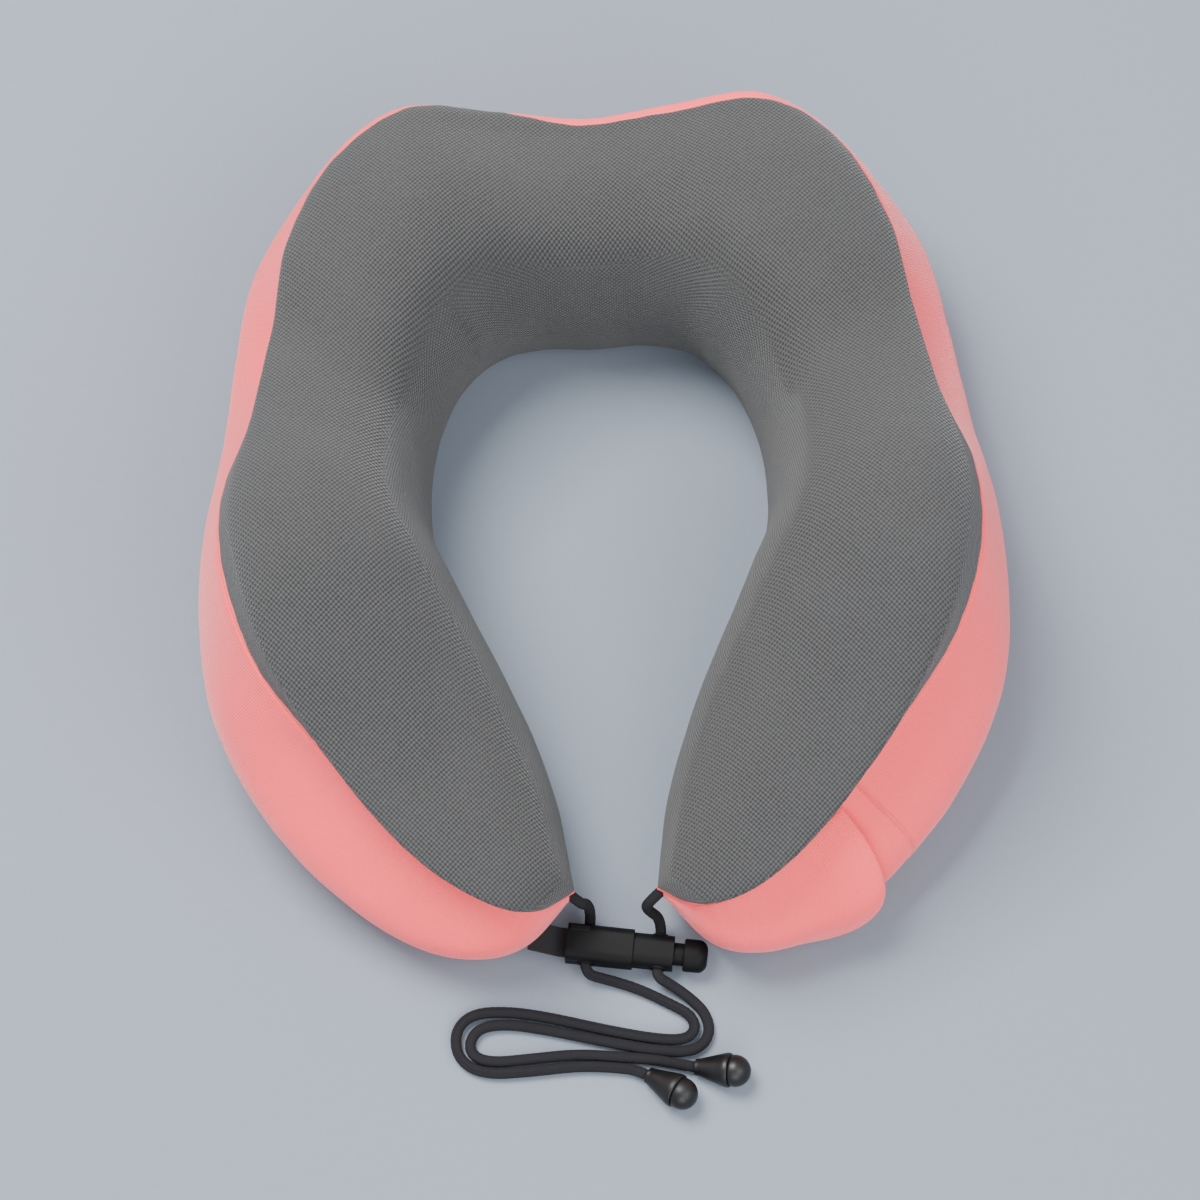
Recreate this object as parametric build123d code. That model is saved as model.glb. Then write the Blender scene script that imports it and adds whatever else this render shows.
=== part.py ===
"""U-shaped travel neck pillow: foam, sewn cover with a zip and a pocket, cord lock and two cords.

Frame: X to the wearer's right arm of the U, +Y to the back of the neck, -Y out of the open
front, +Z up. Z = 0 is the surface that the pillow lies on. All sizes are in millimetres.
"""
from build123d import *
import math
import os
from collections import namedtuple

# ------------------------------------------------------------------ driving sizes
PANEL = 1.8             # thickness of a cover panel
FOAM_AIR = 1.6          # play between the foam and the cover
BASE = 2.4              # thickness of the bottom panel
BASE_TRIM = 0.6         # how much lower its loft starts, before it is cut flat
SEAM_GAP = 0.3          # each panel's distance from a seam's middle
HEM_LIFT = 0.2          # the side walls' clearance over the table

CORD_R = 1.85           # braided cord, 3.7 mm thick
CORD_LIFT = 0.1         # the cords' clearance over the table
FLOOR = CORD_R + CORD_LIFT

LOCK_ANGLE = -8.5           # the lock's long axis, turned about Z
LOCK_X, LOCK_Y, LOCK_Z = 1.8, -142.5, 6.6
LOCK_LEFT, LOCK_STEP, LOCK_RIGHT = -19.6, 3.4, 17.4     # along the axis
HOLE_SPAN = 12.4            # distance of each cord hole from the lock's middle
HOLE_PLAY = 0.3
BORE_START, BORE_R = -8.0, 4.0
STEM_START = 5.5
BUTTON_START, BUTTON_END, BUTTON_R = 20.9, 29.2, 5.7
BUTTON_TRAVEL = 3.0
SPRING_R, SPRING_WIRE = 2.9, 0.35
TAB_WIDTH, TAB_THICK = 10.0, 1.5

ZIP_X, ZIP_Y = 0.0, 25.0    # centre of the zip's arc
ZIP_R = 88.0
ZIP_HALF_ANGLE = 54.0       # the chain runs this far each way from the back centre
SLOT_HALF_ANGLE = 62.0      # the slot in the bottom panel leaves room for the pull
SLIDER_ANGLE = -49.5        # the slider's place with the zip shut
SLOT_HALF = 6.5             # half the slot's width
LIP = 2.0                   # thickness of the turned-up edge beside the slot
TAPE_REACH = 14.0           # the tapes' outer edges from the middle of the chain
TAPE = 0.8
COIL_R = 0.8
COIL_OFFSET = 1.35          # each coil's distance from the middle of the chain
COIL_Z = 4.1
PULL_PIVOT_X, PULL_PIVOT_Z = -1.5, 1.55
PULL_REACH = 14.0

BELL_LENGTH = 19.5          # along the cord end's axis, from its mouth
KNOT_START, TAPER_END, CAP_START = 5.0, 10.6, 12.4
MOUTH_R, RIM_R, CAP_R = 2.9, 5.9, 5.5
BELL_WALL = 1.1
BELL_PITCH = 14.5           # a cone on its side lies on its rim and its narrow end
BELL_Z = 3.1
KNOT_R = 3.2

# ------------------------------------------------------------------ shape of the pillow
# One arm, from the centre of the back to the tip. The inner and outer points are the widest
# places of the neck side and of the outer side; the section stands upright between them.
Station = namedtuple("Station", "inner_x inner_y outer_x outer_y base crown seam inset")
ARM = [
    Station(0, 77, 0, 148, 0, 88, 76, 7),           # notch behind the neck
    Station(17, 77.5, 32, 150, 0, 91, 79, 6.5),
    Station(33, 73, 67, 150, 0, 102, 87, 8),        # back hump
    Station(45, 62, 97, 134, 0, 104, 84, 12),
    Station(53, 47, 119, 106, 0, 98, 76, 17),
    Station(58, 29, 127, 72, 0, 94, 70, 21),        # waist
    Station(59, 11, 132, 35, 0, 106, 82, 16),
    Station(57, -7, 138, -1, 0, 120, 94, 11),      # side hump
    Station(50, -23, 140, -33, 0, 120, 92, 13),
    Station(42, -39, 135, -65, 0, 108, 82, 19),
    Station(33, -57, 120, -94, 0, 92, 70, 24),
    Station(25, -76, 99, -119, 0, 78, 60, 25),
    Station(19, -95, 76, -137, 0, 68, 52, 23),
    Station(16, -111, 53, -146, 3, 60, 44, 18),
    Station(14.5, -122, 33, -144, 13, 50, 39, 10),
    Station(14, -128, 14.5, -129, 30, 34, 32, 0.2),  # tip
]
TIP = len(ARM) - 1
TOP_SEAM = 7            # section parameter of the seam between the top and the side
LAST_POINT = 10

# Along the arm, in stations from the back centre.
COVER_END = TIP - 0.2
BASE_END = TIP - 0.7
FOAM_END = TIP - 0.9
POCKET_JOIN = 11.2      # the side panel's seam under the pocket
POCKET_MOUTH = 11.75
POCKET_END = TIP - 0.3
HEM_WIDTH = 0.22
# Round the section, in its own parameter.
FIRST_HEM, LAST_HEM = 0.1, 9.9
POCKET_HIGH, POCKET_LOW = TOP_SEAM + 0.15, 9.6
POCKET_AIR = 0.7        # the patch's play over the panel behind it
POCKET_THICK = 1.4
BAND_STEPS = 12
BLOCK_STEPS = 20


def blend_row(rows, t):
    """Value of a smooth curve through the rows at parameter t (uniform Catmull-Rom)."""
    last = len(rows) - 1
    i = min(int(t), last - 1)
    f = t - i
    before = rows[i - 1] if i > 0 else [2 * a - b for a, b in zip(rows[0], rows[1])]
    after = rows[i + 2] if i + 2 <= last else [2 * a - b for a, b in zip(rows[last], rows[last - 1])]
    result = []
    for a, b, c, d in zip(before, rows[i], rows[i + 1], after):
        result.append(0.5 * (2 * b + (c - a) * f + (2 * a - 5 * b + 4 * c - d) * f ** 2
                             + (3 * b - a - 3 * c + d) * f ** 3))
    return result


def mirrored(station):
    return station._replace(inner_x=-station.inner_x, outer_x=-station.outer_x)


def station_at(t):
    """Plan and heights at t stations from the back centre; t is negative on the left arm."""
    # the curve runs on through the mirror image of the first stations, so the back is smooth
    rows = [mirrored(ARM[1])] + ARM
    station = Station(*blend_row(rows, abs(t) + 1))
    station = station._replace(base=max(station.base, 0))
    return mirrored(station) if t < 0 else station


def section_at(station, s):
    """Point of the upright section at s, as (distance from the inner point, height)."""
    width = math.hypot(station.outer_x - station.inner_x, station.outer_y - station.inner_y)
    height = station.crown - station.base
    seam = station.seam - station.base
    rows = [
        (0.16 * width, 0),
        (0.05 * width, 0.10 * height),
        (0, 0.36 * height),
        (0.06 * width, 0.68 * height),
        (0.21 * width, 0.91 * height),
        (0.46 * width, height),
        (0.74 * width, 0.955 * height),
        (width - min(station.inset, 0.45 * width), seam),
        (width, 0.40 * height),
        (0.965 * width, 0.11 * height),
        (0.86 * width, 0),
    ]
    return width, height, blend_row(rows, s)


def skin_point(t, s, inset):
    """Point of a layer that lies inset below the outer skin."""
    station = station_at(t)
    width, height, (across, up) = section_at(station, s)
    across = inset + across * (width - 2 * inset) / width
    up = HEM_LIFT + up * (height - inset - HEM_LIFT) / height
    share = across / width
    return Vector(station.inner_x + (station.outer_x - station.inner_x) * share,
                  station.inner_y + (station.outer_y - station.inner_y) * share,
                  station.base + up)


def steps(start, end, size):
    count = max(1, round(abs(end - start) / size))
    return [start + (end - start) * k / count for k in range(count + 1)]


def stations(start, end, size=0.5):
    """The stations of a loft: its two ends and every multiple of size well between them."""
    reach = round(TIP / size)
    places = [k * size for k in range(-reach, reach + 1)]
    inner = [place for place in places if start + 0.2 < place < end - 0.2]
    return [start] + inner + [end]


def level_crossing(t, inset, level, s_low, s_high):
    """Section parameter at which a layer passes the given height over the base."""
    goal = station_at(t).base + level
    for _ in range(30):
        s = (s_low + s_high) / 2
        if skin_point(t, s, inset).Z < goal:
            s_low = s
        else:
            s_high = s
    return s_low


def seam_edge(t, side):
    """Section parameter of a panel's edge beside the top seam; side is -1 or 1."""
    station = station_at(t)
    reach = 0.2
    before, after = section_at(station, TOP_SEAM - reach)[2], section_at(station, TOP_SEAM + reach)[2]
    return TOP_SEAM + side * SEAM_GAP * 2 * reach / math.dist(before, after)


def band_curve(t, s_steps, inset):
    points = [skin_point(t, s, inset) for s in s_steps]
    spans = [k / (len(points) - 1) for k in range(len(points))]
    return Edge.make_spline(points, parameters=spans)


def band(t_start, t_end, s_range, outer, inner):
    """A panel of the cover: the part of the skin in the section range that s_range(t) gives."""
    sections = []
    for t in stations(t_start, t_end):
        s_start, s_end = s_range(t)
        s_steps = steps(s_start, s_end, (s_end - s_start) / BAND_STEPS)
        outside = band_curve(t, s_steps, outer)
        inside = band_curve(t, s_steps[::-1], inner)
        first = Edge.make_line(outside @ 1, inside @ 0)
        last = Edge.make_line(inside @ 1, outside @ 0)
        sections.append(Wire([outside, first, inside, last]))
    return Solid.make_loft(sections)


def block(t_end, inset, floor):
    """The whole U, inset below the outer skin, with a flat underside at the floor's height."""
    sections = []
    for t in stations(-t_end, t_end):
        s_start = level_crossing(t, inset, floor, 0, 4)
        s_end = level_crossing(t, inset, floor, LAST_POINT, TOP_SEAM)
        over = band_curve(t, steps(s_start, s_end, (s_end - s_start) / BLOCK_STEPS), inset)
        under = Edge.make_line(over @ 1, over @ 0)
        sections.append(Wire([over, under]))
    return Solid.make_loft(sections)


def arc_strip(radius_a, radius_b, z_low, z_high, half_angle):
    """A flat strip along the zip's arc, between two radii and two heights."""
    outline = []
    for radius, turn in ((radius_a, 1), (radius_b, -1)):
        outline.append([arc_point(radius, turn * a, z_low) for a in (-half_angle, 0, half_angle)])
    outer = Edge.make_three_point_arc(*outline[0])
    inner = Edge.make_three_point_arc(*outline[1])
    wire = Wire([outer, Edge.make_line(outer @ 1, inner @ 0), inner, Edge.make_line(inner @ 1, outer @ 0)])
    return Solid.extrude(Face(wire), Vector(0, 0, z_high - z_low))


def arc_point(radius, degrees, z):
    """Point at an angle from the back centre, counted clockwise seen from above."""
    a = math.radians(degrees)
    return Vector(ZIP_X + radius * math.sin(a), ZIP_Y + radius * math.cos(a), z)


# ------------------------------------------------------------------ filling and cover
def zip_groove(top, half_width):
    """Room above the zip, cut out of the filling."""
    return arc_strip(ZIP_R - half_width, ZIP_R + half_width, -1, top, SLOT_HALF_ANGLE + 3)


def make_foam_core():
    foam = block(FOAM_END, PANEL + FOAM_AIR, BASE + FOAM_AIR)
    return foam - zip_groove(8.6, TAPE_REACH + 2)


def top_range(t):
    return FIRST_HEM, seam_edge(t, -1)


def side_range(t):
    return seam_edge(t, 1), LAST_HEM


def pocket_range(t):
    return POCKET_HIGH, POCKET_LOW


def make_top_panel():
    return band(-COVER_END, COVER_END, top_range, 0, PANEL)


def make_side_panel():
    return band(-COVER_END, POCKET_JOIN - 0.02, side_range, 0, PANEL)


def make_pocket_backing():
    return band(POCKET_JOIN + 0.02, COVER_END, side_range, 0, PANEL)


def make_pocket_panel():
    start = POCKET_MOUTH + HEM_WIDTH + 0.01
    return band(start, POCKET_END, pocket_range, -POCKET_AIR - POCKET_THICK, -POCKET_AIR)


def make_pocket_hem():
    end = POCKET_MOUTH + HEM_WIDTH
    return band(POCKET_MOUTH, end, pocket_range, -POCKET_AIR - POCKET_THICK - 0.8, -POCKET_AIR)


def base_section(t):
    """Outline of the bottom panel across one arm."""
    station = station_at(t)
    width = math.hypot(station.outer_x - station.inner_x, station.outer_y - station.inner_y)
    edge = min(2.8 / width, 0.1)
    corners = []
    low, high = 0.16 + edge, 0.86 - edge
    for share, up in ((low, -BASE_TRIM), (high, -BASE_TRIM), (high, BASE), (low, BASE)):
        corners.append(Vector(station.inner_x + (station.outer_x - station.inner_x) * share,
                              station.inner_y + (station.outer_y - station.inner_y) * share,
                              station.base + up))
    return Wire.make_polygon(corners, close=True)


def make_bottom_panel():
    """The flat underside, with two turned-up lips that carry the zip's tapes."""
    panel = Solid.make_loft([base_section(t) for t in stations(-BASE_END, BASE_END)])
    panel = panel - Pos(0, 0, -5) * Box(400, 400, 10)
    panel = panel - arc_strip(ZIP_R - SLOT_HALF, ZIP_R + SLOT_HALF, -1, BASE + 1, SLOT_HALF_ANGLE)
    lip_top = COIL_Z + COIL_R - 0.1
    for side in (-1, 1):
        near, far = ZIP_R + side * SLOT_HALF, ZIP_R + side * (SLOT_HALF + LIP)
        panel = panel + arc_strip(near, far, BASE / 2, lip_top, ZIP_HALF_ANGLE)
    return panel


# ------------------------------------------------------------------ zip
def make_zip_tape(side):
    z_low = COIL_Z + COIL_R + 0.1
    near = ZIP_R + side * 0.9
    return arc_strip(near, ZIP_R + side * TAPE_REACH, z_low, z_low + TAPE, ZIP_HALF_ANGLE + 1)


def make_zip_coil(side):
    radius = ZIP_R + side * COIL_OFFSET
    ends = [arc_point(radius, a, COIL_Z) for a in (-ZIP_HALF_ANGLE, 0, ZIP_HALF_ANGLE)]
    path = Edge.make_three_point_arc(*ends)
    section = Plane(origin=path @ 0, z_dir=path % 0) * Circle(COIL_R)
    return sweep(section, path=path)


def zip_place(degrees):
    """A place on the chain, with X along it, clockwise seen from above."""
    centre = arc_point(ZIP_R, degrees, 0)
    return Location((centre.X, centre.Y, 0), (0, 0, -degrees))


def make_zip_stop(degrees):
    """A crimped clip across the end of both coils."""
    clip = Pos(0, 0, COIL_Z) * (Box(2.2, 6.4, 3.0) - Box(3, 5.4, 1.9))
    return zip_place(degrees) * clip


def make_zip_slider():
    """Two plates round the chain, a bridge between the coils and an arch for the pull."""
    plate = RectangleRounded(9.5, 8.4, 2.2)
    lower_z = COIL_Z - COIL_R - 1.1
    upper_z = COIL_Z + COIL_R + 0.1 + TAPE + 0.25
    lower = Pos(0, 0, lower_z) * extrude(plate, 0.7)
    upper = Pos(0, 0, upper_z) * extrude(plate, 0.8)
    bridge = Pos(0, 0, lower_z + 0.3) * extrude(Rectangle(3.4, 0.8), upper_z - lower_z)
    arch = Pos(0, 0, 1.45) * (Box(8.0, 1.6, 2.1) - Pos(0, 0, 0.25) * Box(5.6, 2, 1.7))
    return zip_place(SLIDER_ANGLE) * (lower + upper + bridge + arch)


def make_zip_pull():
    """A tab on two side bars, with a round cross bar that turns under the slider's arch."""
    tab = extrude(SlotOverall(PULL_REACH + 2.8, 5.6), 0.45, both=True)
    tab = Pos(PULL_REACH / 2 - 1.4 + 0.9, 0, 0) * tab
    window = Pos(2.45, 0, 0) * Box(6.7, 2.8, 3)
    ends = Pos(-4.4, 0, 0) * Box(8, 8, 3)
    bar = Rot(90, 0, 0) * Cylinder(0.45, 4.6)
    pull = (tab - window - ends) + bar
    return zip_place(SLIDER_ANGLE) * (Pos(PULL_PIVOT_X, 0, PULL_PIVOT_Z) * pull)


# ------------------------------------------------------------------ cord lock
def lock_place(along=0.0, front=0.0, up=0.0):
    """A place on the lock: along its axis to the button, towards the front, and up."""
    a = math.radians(LOCK_ANGLE)
    x = LOCK_X + along * math.cos(a) + front * math.sin(a)
    y = LOCK_Y + along * math.sin(a) - front * math.cos(a)
    return Location((x, y, LOCK_Z + up), (0, 0, LOCK_ANGLE))


def lock_rod(start, end, radius):
    """A round bar on the lock's axis, in the lock's own frame."""
    return Pos((start + end) / 2, 0, 0) * Rot(0, 90, 0) * Cylinder(radius, end - start)


def make_lock_housing():
    """A stepped barrel: webbing slot on the left, a plain cord eye, then the sprung cord hole."""
    left = Pos((LOCK_LEFT + LOCK_STEP) / 2, 0, 0) * Box(LOCK_STEP - LOCK_LEFT, 12.8, 12.6)
    left = fillet(left.edges().filter_by(Axis.X), 3.2)
    right = Pos((LOCK_STEP + LOCK_RIGHT) / 2, 0, -0.4) * Box(LOCK_RIGHT - LOCK_STEP, 11.4, 11.4)
    right = fillet(right.edges().filter_by(Axis.X), 3.6)
    rib = Pos(LOCK_LEFT + 4.4, 4.4, 5.6) * Box(6.4, 2.6, 2.4)
    body = left + right + fillet(rib.edges().filter_by(Axis.X), 0.8)
    body = body - lock_rod(BORE_START, LOCK_RIGHT + 1, BORE_R)
    for along in (-HOLE_SPAN, HOLE_SPAN):
        body = body - Pos(along, 0, 0) * Rot(90, 0, 0) * Cylinder(CORD_R + HOLE_PLAY, 20)
    slot_depth = 3.0
    slot = Pos(LOCK_LEFT + slot_depth / 2 - 0.5, 0, 0) * Box(slot_depth + 1, 10.8, TAB_THICK + 0.3)
    return lock_place() * (body - slot)


def make_lock_plunger():
    """The sliding stem with its cord slot, and the round button on its end."""
    stem = lock_rod(STEM_START, BUTTON_START + 1, BORE_R - 0.1)
    button = lock_rod(BUTTON_START, BUTTON_END, BUTTON_R)
    rims = button.edges().filter_by(GeomType.CIRCLE).sort_by(Axis.X)
    button = fillet(rims[-1], 3.4)
    rims = button.edges().filter_by(GeomType.CIRCLE).sort_by(Axis.X)
    button = fillet(rims[0], 0.8)
    slot_width = 2 * CORD_R + 0.5
    slot = Pos(HOLE_SPAN + BUTTON_TRAVEL / 2, 0, 0) * Box(BUTTON_TRAVEL + slot_width, 20, slot_width)
    return lock_place() * (stem - slot + button)


def make_lock_spring():
    """Coil spring between the blind end of the bore and the stem."""
    turns = 6
    length = STEM_START - BORE_START - 2 * SPRING_WIRE - 0.2
    path = Helix(length / turns, length, SPRING_R)
    section = Plane(origin=path @ 0, z_dir=path % 0) * Circle(SPRING_WIRE)
    coil = sweep(section, path=path, is_frenet=True)
    return lock_place(BORE_START + SPRING_WIRE + 0.1) * (Rot(0, 90, 0) * coil)


def make_lock_tab():
    """Webbing from the lower seam of the left arm into the housing's slot."""
    middle = [(LOCK_LEFT + 2.2, 0), (LOCK_LEFT - 2.5, 0), (LOCK_LEFT - 13.0, 6.0)]
    half = TAB_THICK / 2
    outline = [(x, z + half) for x, z in middle] + [(x, z - half) for x, z in middle[::-1]]
    face = Face(Wire.make_polygon([Vector(x, TAB_WIDTH / 2, z) for x, z in outline], close=True))
    return lock_place() * Solid.extrude(face, Vector(0, -TAB_WIDTH, 0))


# ------------------------------------------------------------------ cords and cord ends
def lock_point(along, front):
    """A point of a cord's route, placed from the lock."""
    position = lock_place(along, front).position
    return (position.X, position.Y, position.Z)


BEHIND, AHEAD = -11.6, 10.2         # the cords' turns before and after the lock

# From inside the tip, down behind the lock, through it, over the table and into the cord end.
CORD_LEFT_ROUTE = [
    (-18.6, -126.4, 32.0),
    (-11.6, -132.0, 28.0),
    (-10.4, -128.4, 17.6),
    lock_point(-HOLE_SPAN, BEHIND),
    lock_point(-HOLE_SPAN, AHEAD),
    (-4.2, -152.2, 2.6),
    (6.6, -155.8, FLOOR),
    (17.0, -161.4, FLOOR),
    (24.2, -165.6, FLOOR),
    (25.6, -171.0, FLOOR),
    (21.2, -174.4, FLOOR),
    (10.0, -173.2, FLOOR),
    (-6.5, -169.4, FLOOR),
    (-23.5, -164.8, FLOOR),
    (-38.5, -161.8, FLOOR),
    (-51.5, -162.0, FLOOR),
    (-57.6, -168.4, FLOOR),
    (-56.4, -178.0, FLOOR),
    (-47.6, -183.4, FLOOR),
    (-31.5, -183.0, FLOOR),
    (-16.0, -181.8, FLOOR),
    (-4.0, -182.6, FLOOR),
]
CORD_RIGHT_ROUTE = [
    (18.6, -126.4, 32.0),
    (10.6, -131.8, 27.4),
    (10.2, -131.4, 17.0),
    lock_point(HOLE_SPAN, BEHIND),
    (12.8, -152.7, LOCK_Z),
    (17.2, -155.0, 4.2),
    (23.6, -159.2, FLOOR),
    (29.4, -165.4, FLOOR),
    (30.4, -173.4, FLOOR),
    (24.2, -178.8, FLOOR),
    (11.0, -177.4, FLOOR),
    (-6.0, -173.6, FLOOR),
    (-24.5, -169.0, FLOOR),
    (-38.5, -166.2, FLOOR),
    (-48.4, -166.8, FLOOR),
    (-52.6, -171.8, FLOOR),
    (-51.4, -177.0, FLOOR),
    (-44.6, -179.4, FLOOR),
    (-31.5, -178.6, FLOOR),
    (-15.5, -177.6, FLOOR),
    (-1.5, -179.2, FLOOR),
    (11.5, -180.6, FLOOR),
]
Bell = namedtuple("Bell", "x y turn")
BELL_LEFT = Bell(8.5, -186.0, -34.5)
BELL_RIGHT = Bell(24.8, -184.0, -11.0)


def bell_place(bell):
    """A place at the mouth of a cord end, with X along its axis."""
    return Location((bell.x, bell.y, BELL_Z), (0, 0, bell.turn)) * Rot(0, -BELL_PITCH, 0)


def bell_point(bell, along):
    position = (bell_place(bell) * Pos(along, 0, 0)).position
    return (position.X, position.Y, position.Z)


def make_cord(name, route, bell):
    """A tube of straight runs joined by arcs, each as large as its two runs allow."""
    points = [Vector(*p) for p in route + [bell_point(bell, -3.2), bell_point(bell, KNOT_START)]]
    radii = []
    for before, corner, after in zip(points, points[1:], points[2:]):
        turn = (corner - before).get_angle(after - corner)
        shorter = min((corner - before).length, (after - corner).length)
        radii.append(0.45 * shorter / math.tan(math.radians(turn / 2)))
    path = FilletPolyline(*points, radius=radii)
    section = Plane(origin=path @ 0, z_dir=path % 0) * Circle(CORD_R)
    tube = sweep(section, path=path)
    print(name, "length", round(path.length, 1), "volume ratio",
          round(tube.volume / (math.pi * CORD_R ** 2 * path.length), 4))
    print("  radii", [round(r, 1) for r in radii])
    return tube


def make_cord_anchor(route):
    """The cord's stitched end inside the tip."""
    start, onward = Vector(*route[0]), Vector(*route[1])
    direction = (start - onward).normalized()
    return Plane(origin=start, z_dir=direction) * Pos(0, 0, 2.0) * Cylinder(2.3, 4.0)


def make_bell_sleeve(bell):
    """Tapered sleeve with a narrow mouth for the cord and a hollow for its knot."""
    outline = make_face(Polyline(
        (0, CORD_R + HOLE_PLAY), (0, MOUTH_R), (TAPER_END, RIM_R), (CAP_START, RIM_R),
        (CAP_START, RIM_R - BELL_WALL), (KNOT_START - 0.4, KNOT_R + 0.3),
        (KNOT_START - 0.4, CORD_R + HOLE_PLAY), close=True))
    sleeve = revolve(outline, Axis.X)
    return bell_place(bell) * sleeve


def make_bell_cap(bell):
    """Round cap with a plug that snaps into the sleeve."""
    ball = Pos(BELL_LENGTH - CAP_R, 0, 0) * Sphere(CAP_R)
    ball = ball - Pos(CAP_START + 0.1 - 10, 0, 0) * Box(20, 20, 20)
    plug = lock_rod(CAP_START - 0.9, CAP_START + 1.5, RIM_R - BELL_WALL - 0.55)
    return bell_place(bell) * (ball + plug)


def make_bell_knot(bell):
    return bell_place(bell) * (Pos(KNOT_START + KNOT_R, 0, 0) * Sphere(KNOT_R))


# ------------------------------------------------------------------ all parts
def make_parts():
    return {
        "foam_core": make_foam_core(),
        "top_panel": make_top_panel(),
        "side_panel": make_side_panel(),
        "pocket_backing": make_pocket_backing(),
        "pocket_panel": make_pocket_panel(),
        "pocket_hem": make_pocket_hem(),
        "bottom_panel": make_bottom_panel(),
        "zipper_tape_outer": make_zip_tape(1),
        "zipper_tape_inner": make_zip_tape(-1),
        "zipper_coil_outer": make_zip_coil(1),
        "zipper_coil_inner": make_zip_coil(-1),
        "zipper_top_stop": make_zip_stop(-ZIP_HALF_ANGLE),
        "zipper_bottom_stop": make_zip_stop(ZIP_HALF_ANGLE),
        "zipper_slider": make_zip_slider(),
        "zipper_pull": make_zip_pull(),
        "lock_housing": make_lock_housing(),
        "lock_plunger": make_lock_plunger(),
        "lock_spring": make_lock_spring(),
        "lock_tab": make_lock_tab(),
        "cord_left": make_cord("cord_left", CORD_LEFT_ROUTE, BELL_LEFT),
        "cord_right": make_cord("cord_right", CORD_RIGHT_ROUTE, BELL_RIGHT),
        "cord_anchor_left": make_cord_anchor(CORD_LEFT_ROUTE),
        "cord_anchor_right": make_cord_anchor(CORD_RIGHT_ROUTE),
        "bell_sleeve_left": make_bell_sleeve(BELL_LEFT),
        "bell_sleeve_right": make_bell_sleeve(BELL_RIGHT),
        "bell_cap_left": make_bell_cap(BELL_LEFT),
        "bell_cap_right": make_bell_cap(BELL_RIGHT),
        "bell_knot_left": make_bell_knot(BELL_LEFT),
        "bell_knot_right": make_bell_knot(BELL_RIGHT),
    }


os.makedirs("parts", exist_ok=True)
for name, part in make_parts().items():
    export_step(part, f"parts/{name}.step")
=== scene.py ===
"""Looks of the U-shaped neck pillow: knit top, stretch side cover, pocket, zip, lock and cords."""
import math

import bpy
import numpy as np
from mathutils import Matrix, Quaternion, Vector, noise


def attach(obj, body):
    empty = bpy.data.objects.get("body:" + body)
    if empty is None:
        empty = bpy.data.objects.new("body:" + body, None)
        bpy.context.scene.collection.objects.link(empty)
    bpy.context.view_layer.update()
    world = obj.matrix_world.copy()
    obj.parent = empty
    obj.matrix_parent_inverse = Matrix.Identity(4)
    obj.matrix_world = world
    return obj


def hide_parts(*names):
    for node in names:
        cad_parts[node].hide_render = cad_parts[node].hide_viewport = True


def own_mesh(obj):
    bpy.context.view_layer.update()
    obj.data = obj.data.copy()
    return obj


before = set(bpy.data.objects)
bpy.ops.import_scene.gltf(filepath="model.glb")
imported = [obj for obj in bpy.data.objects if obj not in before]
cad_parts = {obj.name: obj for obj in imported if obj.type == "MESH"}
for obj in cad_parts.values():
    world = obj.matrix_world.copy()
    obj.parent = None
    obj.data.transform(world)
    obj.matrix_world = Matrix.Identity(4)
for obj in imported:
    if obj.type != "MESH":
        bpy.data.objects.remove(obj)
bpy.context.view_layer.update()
MM = 0.001

# ------------------------------------------------------------------ camera, floor and light
TARGET = Vector((0, 0.005, 0.040))
CAMERA_ELEVATION = math.radians(70)
CAMERA_DISTANCE = 1.3
CAMERA_ROLL = math.radians(-2.4)
LENS = 111.3
SHIFT_Y = -0.071            # the pillow stands a little above the middle of the frame
STAGE_SIZE = 6
STAGE_Z = -0.0002           # just under the pillow
STAGE_COLOUR = (0.165, 0.193, 0.236)
SKY_COLOUR, SKY_STRENGTH = (0.90, 0.94, 1.0), 0.84
LIGHTS = [                  # name, place, size, power and colour
    ("key_light", (-0.5, 0.5, 1.5), 0.8, 65, (1.0, 0.985, 0.965)),
    ("fill_light", (0.8, -0.6, 1.3), 1.2, 23, (1, 1, 1)),
    ("front_light", (0.0, -1.3, 0.8), 0.9, 14.5, (1, 1, 1)),
]


def look_at(obj, target, roll=0.0):
    direction = Vector(target) - obj.location
    turn = direction.to_track_quat("-Z", "Y") @ Quaternion((0, 0, 1), roll)
    obj.rotation_euler = turn.to_euler()


def make_camera():
    camera = bpy.data.objects.new("camera", bpy.data.cameras.new("camera"))
    bpy.context.scene.collection.objects.link(camera)
    back = Vector((0, -math.cos(CAMERA_ELEVATION), math.sin(CAMERA_ELEVATION)))
    camera.location = TARGET + CAMERA_DISTANCE * back
    look_at(camera, TARGET, CAMERA_ROLL)
    camera.data.lens = LENS
    camera.data.shift_y = SHIFT_Y
    camera.data.clip_end = 20
    bpy.context.scene.camera = camera


def make_light(name, place, size, power, colour):
    light = bpy.data.objects.new(name, bpy.data.lights.new(name, "AREA"))
    bpy.context.scene.collection.objects.link(light)
    light.location = place
    light.data.size = size
    light.data.energy = power
    light.data.color = colour
    look_at(light, TARGET)


def make_stage():
    bpy.ops.mesh.primitive_plane_add(size=STAGE_SIZE, location=(0, 0, STAGE_Z))
    floor = bpy.context.object
    floor.name = "floor"
    floor.data.materials.append(plain_material("floor_paint", STAGE_COLOUR, 0.8))
    for light in LIGHTS:
        make_light(*light)
    world = bpy.data.worlds.new("studio")
    world.use_nodes = True
    sky = world.node_tree.nodes["Background"]
    sky.inputs["Color"].default_value = (*SKY_COLOUR, 1)
    sky.inputs["Strength"].default_value = SKY_STRENGTH
    bpy.context.scene.world = world


# ------------------------------------------------------------------ materials
MIX_FIRST, MIX_SECOND, MIX_RESULT = 6, 7, 2     # the colour sockets of a Mix node


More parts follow.
